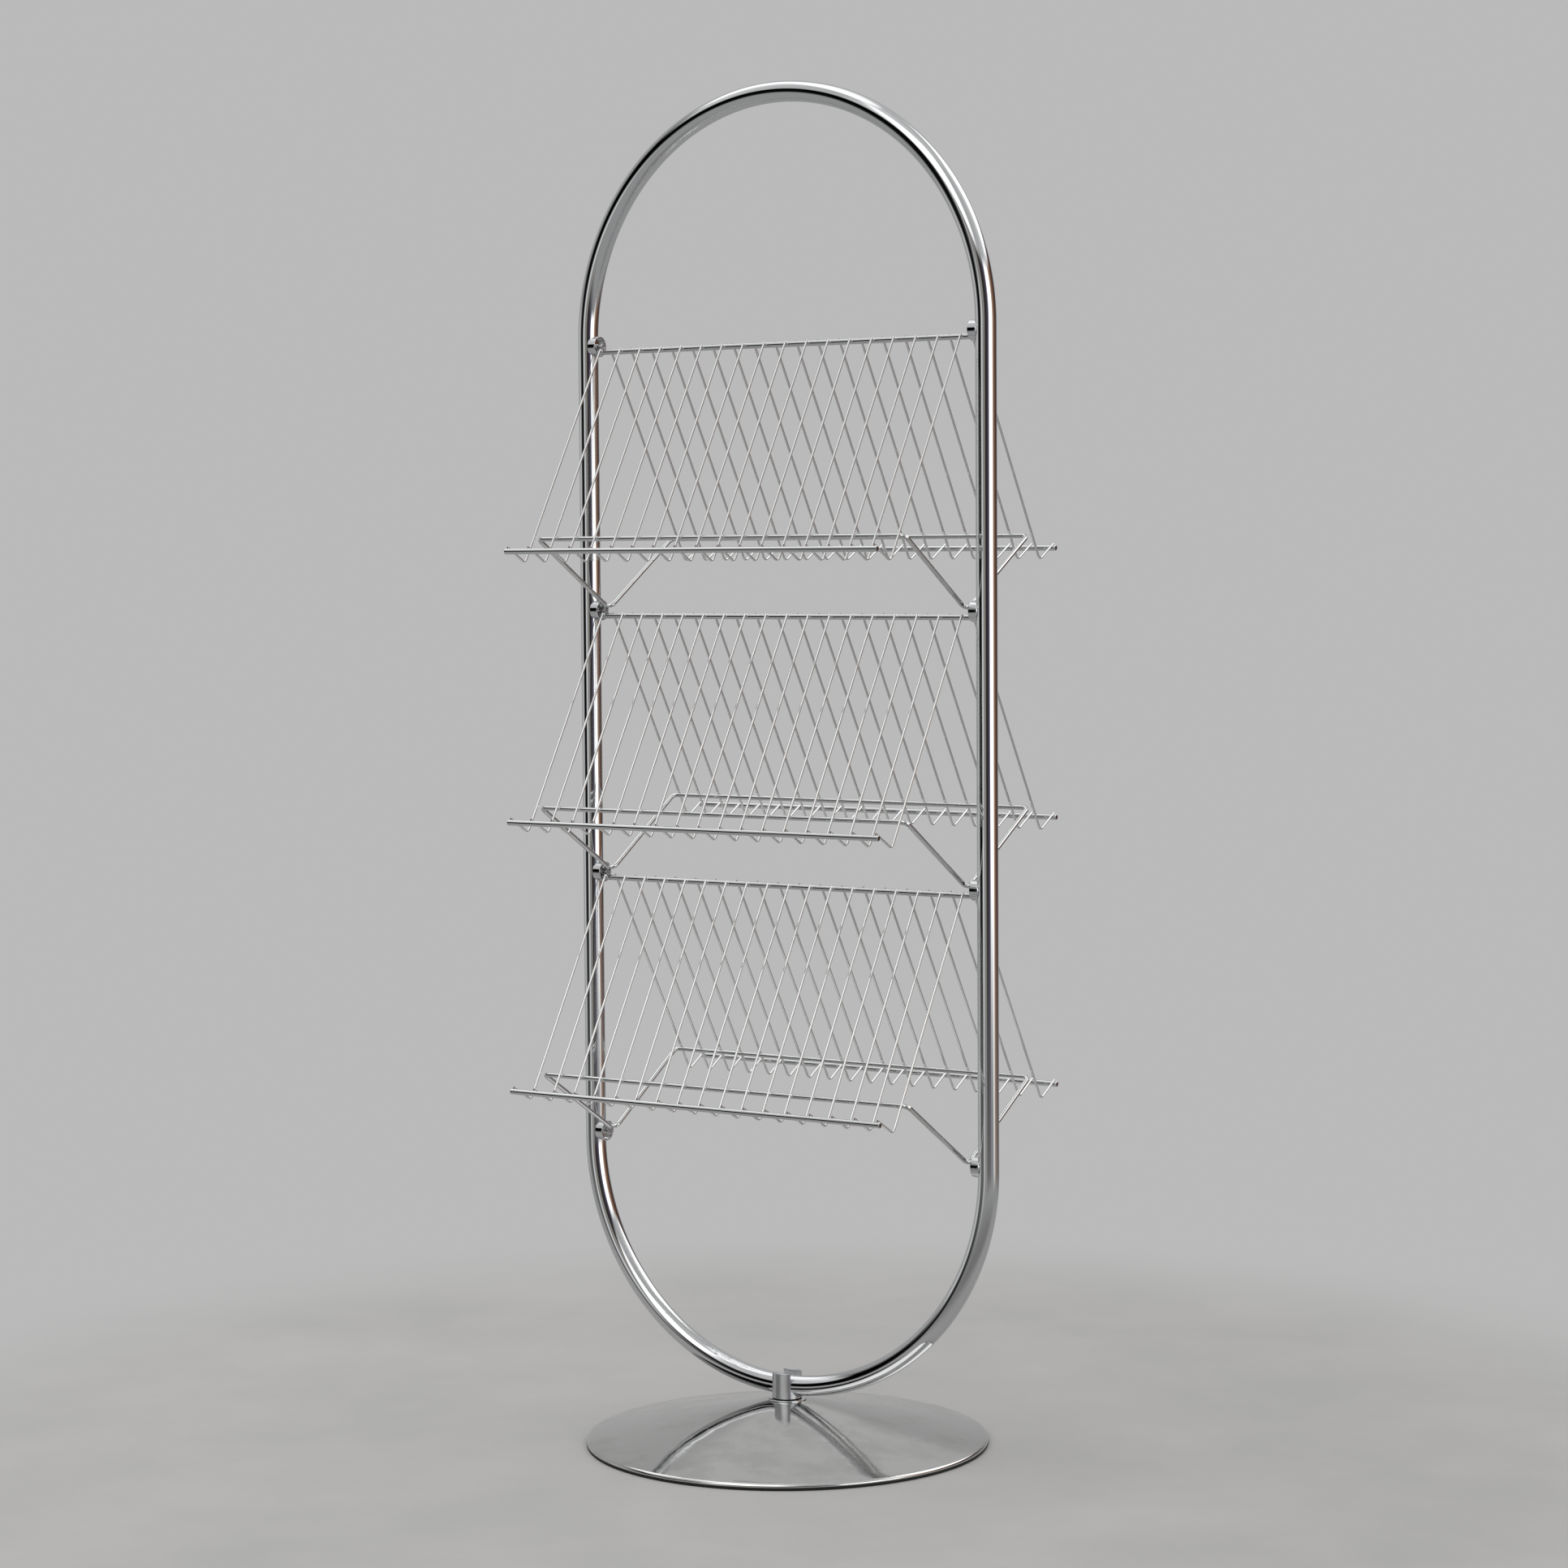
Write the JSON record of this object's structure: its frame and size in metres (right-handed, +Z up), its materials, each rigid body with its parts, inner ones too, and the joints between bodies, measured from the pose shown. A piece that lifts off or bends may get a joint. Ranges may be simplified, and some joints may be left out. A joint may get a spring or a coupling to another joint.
{
  "type": "newspaper rack",
  "caption": "Revolving chrome newspaper and magazine rack: a closed tube hoop on a round weighted base carries three double-sided wire baskets.",
  "frame": {"origin": "on the floor, on the axis of the swivel journal at the centre of the round base", "axes": "+Z up, +X along the width of the hoop towards the right upright, -Y towards the front baskets"},
  "size_m": [0.522, 0.429, 1.4406],
  "materials": {
    "chrome": "polished",
    "bright_wire": "polished",
    "polished_steel": "polished",
    "zinc_plated_steel": "satin",
    "cast_iron": "matte",
    "black_rubber": "matte",
    "black_nylon": "matte"
  },
  "bodies": {
    "base": {"base_cone": "chrome", "base_weight": "cast_iron", "rim_ring": "black_rubber", "pivot_bush": "chrome", "bush_ring_nut": "zinc_plated_steel", "slip_washer": "black_nylon", "thrust_washer": "black_nylon"},
    "rack": {"saddle_post": "polished_steel", "saddle_screw": "zinc_plated_steel", "journal_washer": "zinc_plated_steel", "spring_washer": "zinc_plated_steel", "tube_joiner": "zinc_plated_steel", "hoop_tube": "chrome", "hub_cup_left_1": "chrome", "hub_cup_left_2": "chrome", "hub_cup_left_3": "chrome", "hub_cup_left_4": "chrome", "hub_screw_left_1": "polished_steel", "hub_screw_left_2": "polished_steel", "hub_screw_left_3": "polished_steel", "hub_screw_left_4": "polished_steel", "hub_cup_right_1": "chrome", "hub_cup_right_2": "chrome", "hub_cup_right_3": "chrome", "hub_cup_right_4": "chrome", "hub_screw_right_1": "polished_steel", "hub_screw_right_2": "polished_steel", "hub_screw_right_3": "polished_steel", "hub_screw_right_4": "polished_steel", "top_rail_1": "bright_wire", "support_rod_front_1": "bright_wire", "wire_basket_front_1": "bright_wire", "support_rod_back_1": "bright_wire", "wire_basket_back_1": "bright_wire", "top_rail_2": "bright_wire", "support_rod_front_2": "bright_wire", "wire_basket_front_2": "bright_wire", "support_rod_back_2": "bright_wire", "wire_basket_back_2": "bright_wire", "top_rail_3": "bright_wire", "support_rod_front_3": "bright_wire", "wire_basket_front_3": "bright_wire", "support_rod_back_3": "bright_wire", "wire_basket_back_3": "bright_wire"}
  },
  "joints": [
    {"name": "rack_swivel", "type": "hinge", "parent": "base", "child": "rack", "pos_m": [0, 0, 0.0476], "axis": [0, 0, 1], "continuous": true}
  ]
}
